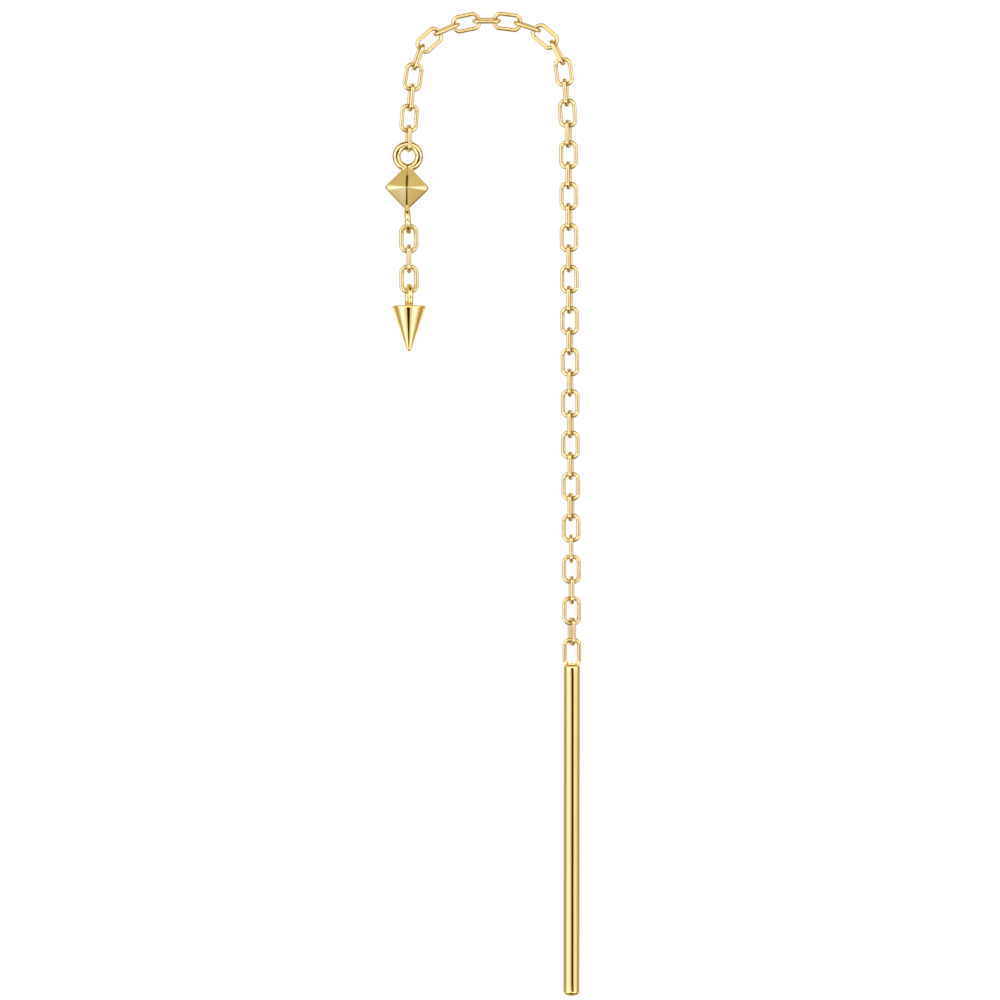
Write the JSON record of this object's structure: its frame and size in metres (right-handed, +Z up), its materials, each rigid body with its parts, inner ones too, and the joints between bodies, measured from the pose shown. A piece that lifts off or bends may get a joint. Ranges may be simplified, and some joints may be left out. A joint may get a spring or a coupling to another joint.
{
  "type": "threader earring",
  "caption": "Fine cable chain that hangs over the ear lobe, with a long straight threading bar at one end and a ring, small pyramid, short chain and spike at the other.",
  "frame": {"origin": "underside of the chain's middle link, where the piercing of the ear lobe carries it", "axes": "+Z up, -Y towards the viewer and out of the front of the pyramid, +X from the front drop towards the bar"},
  "size_m": [0.0117, 0.002, 0.0594],
  "materials": {
    "polished_gold": "yellow gold, 14 karat look, mirror polished",
    "chain_gold": "yellow gold wire, drawn and tumbled bright",
    "soft_polished_gold": "yellow gold, cast and softly polished"
  },
  "bodies": {
    "chain": {"cable_chain": "chain_gold"},
    "bar": {"threader_bar": "polished_gold"},
    "front_drop": {"pyramid_drop": "soft_polished_gold", "drop_chain": "chain_gold", "spike_drop": "polished_gold"}
  },
  "joints": [
    {"name": "bar_swing", "type": "hinge", "parent": "chain", "child": "bar", "pos_m": [0.00514, 0, -0.03751], "axis": [0, 1, 0], "range_deg": [-60, 60]},
    {"name": "front_drop_swing", "type": "hinge", "parent": "chain", "child": "front_drop", "pos_m": [-0.00472, 0, -0.00781], "axis": [0, 1, 0], "range_deg": [-45, 45]}
  ]
}
